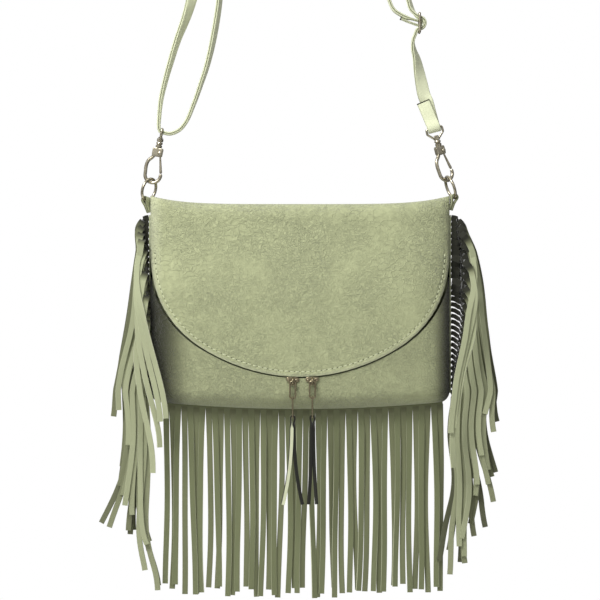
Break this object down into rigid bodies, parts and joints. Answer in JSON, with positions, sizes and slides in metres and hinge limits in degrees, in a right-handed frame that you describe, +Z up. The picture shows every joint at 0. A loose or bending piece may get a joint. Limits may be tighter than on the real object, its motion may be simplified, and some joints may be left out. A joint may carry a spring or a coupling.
{
  "type": "fringed suede shoulder bag",
  "caption": "Slim suede pouch with a curved flap over a zip, long strip fringe along its sides and bottom, and a doubled strap on snap hooks",
  "frame": {"origin": "the lowest point of the strap's underside at the crown of its loop, in the middle of the bag's width", "axes": "+X towards the end with the strap's buckle, +Y from the front to the back, +Z up"},
  "size_m": [0.2999, 0.0379, 0.6754],
  "materials": {
    "panel_suede": "soft napped suede, sage green",
    "strap_suede": "soft napped suede, folded and stitched",
    "fringe_suede": "soft napped suede strips with raw cut edges",
    "tab_suede": "suede strips with dark cut edges",
    "zip_tape": "woven tape, dark green",
    "zip_coil": "nylon coil, dark",
    "antique_brass": "antique brass, brushed, darker in the hollows"
  },
  "bodies": {
    "bag": {"back_flap_panel": "panel_suede", "front_panel": "panel_suede", "zip_tape_upper": "zip_tape", "zip_tape_lower": "zip_tape", "zip_coil": "zip_coil", "strap": "strap_suede", "adjuster_buckle": "antique_brass", "hook_eye_left": "antique_brass", "hook_eye_right": "antique_brass", "ring_tab_left": "panel_suede", "ring_tab_right": "panel_suede", "fringe_left": "fringe_suede", "fringe_bottom": "fringe_suede", "fringe_right": "fringe_suede"},
    "slider_left": {"slider_left": "antique_brass"},
    "slider_right": {"slider_right": "antique_brass"},
    "pull_ring_left": {"pull_ring_left": "antique_brass"},
    "pull_ring_right": {"pull_ring_right": "antique_brass"},
    "pull_link_left": {"pull_link_left": "antique_brass"},
    "pull_link_right": {"pull_link_right": "antique_brass"},
    "pull_tab_left": {"pull_tab_left": "tab_suede"},
    "pull_tab_right": {"pull_tab_right": "tab_suede"},
    "hook_left": {"hook_body_left": "antique_brass", "hook_rivet_left": "antique_brass"},
    "hook_right": {"hook_body_right": "antique_brass", "hook_rivet_right": "antique_brass"},
    "hook_gate_left": {"hook_gate_left": "antique_brass"},
    "hook_gate_right": {"hook_gate_right": "antique_brass"},
    "ring_left": {"ring_left": "antique_brass"},
    "ring_right": {"ring_right": "antique_brass"}
  },
  "joints": [
    {"name": "slider_left_run", "type": "hinge", "parent": "bag", "child": "slider_left", "pos_m": [0, -0.0205, -0.3502], "axis": [0, 1, 0], "range_deg": [0, 23]},
    {"name": "slider_right_run", "type": "hinge", "parent": "bag", "child": "slider_right", "pos_m": [0, -0.0205, -0.3502], "axis": [0, 1, 0], "range_deg": [-21, 0]},
    {"name": "pull_ring_left_swing", "type": "hinge", "parent": "slider_left", "child": "pull_ring_left", "pos_m": [-0.00582, -0.0222, -0.49503], "axis": [1, 0, 0], "range_deg": [-90, 0]},
    {"name": "pull_ring_right_swing", "type": "hinge", "parent": "slider_right", "child": "pull_ring_right", "pos_m": [0.00986, -0.0222, -0.49481], "axis": [1, 0, 0], "range_deg": [-90, 0]},
    {"name": "pull_link_left_swing", "type": "hinge", "parent": "pull_ring_left", "child": "pull_link_left", "pos_m": [-0.00582, -0.0222, -0.50883], "axis": [1, 0, 0], "range_deg": [-60, 0]},
    {"name": "pull_link_right_swing", "type": "hinge", "parent": "pull_ring_right", "child": "pull_link_right", "pos_m": [0.00986, -0.0222, -0.50861], "axis": [1, 0, 0], "range_deg": [-60, 0]},
    {"name": "pull_tab_left_swing", "type": "hinge", "parent": "pull_link_left", "child": "pull_tab_left", "pos_m": [-0.00582, -0.0222, -0.52388], "axis": [0, 1, 0], "range_deg": [0, 20]},
    {"name": "pull_tab_right_swing", "type": "hinge", "parent": "pull_link_right", "child": "pull_tab_right", "pos_m": [0.00986, -0.0222, -0.52366], "axis": [0, 1, 0], "range_deg": [-20, 0]},
    {"name": "hook_left_swivel", "type": "hinge", "parent": "bag", "child": "hook_left", "pos_m": [-0.11188, 0, -0.30265], "axis": [0.2079, 0, 0.9781], "range_deg": [-12, 12]},
    {"name": "hook_right_swivel", "type": "hinge", "parent": "bag", "child": "hook_right", "pos_m": [0.10939, 0, -0.30132], "axis": [-0.2588, 0, 0.9659], "range_deg": [-15, 15]},
    {"name": "hook_gate_left_press", "type": "hinge", "parent": "hook_left", "child": "hook_gate_left", "pos_m": [-0.11189, -0.00031, -0.31318], "axis": [0.1361, 0.9903, -0.0289], "range_deg": [0, 25], "stiffness_Nm_per_rad": 0.05},
    {"name": "hook_gate_right_press", "type": "hinge", "parent": "hook_right", "child": "hook_gate_right", "pos_m": [0.1138, 0.00126, -0.3108], "axis": [-0.554, 0.8192, -0.1485], "range_deg": [0, 25], "stiffness_Nm_per_rad": 0.05},
    {"name": "ring_left_swing", "type": "hinge", "parent": "bag", "child": "ring_left", "pos_m": [-0.1234, 0, -0.3506], "axis": [0.5208, 0.8387, -0.1592], "range_deg": [-2.2, 0.8]},
    {"name": "ring_right_swing", "type": "hinge", "parent": "bag", "child": "ring_right", "pos_m": [0.1234, 0, -0.3486], "axis": [-0.259, 0.9613, -0.0943], "range_deg": [-1.4, 2.6]}
  ]
}
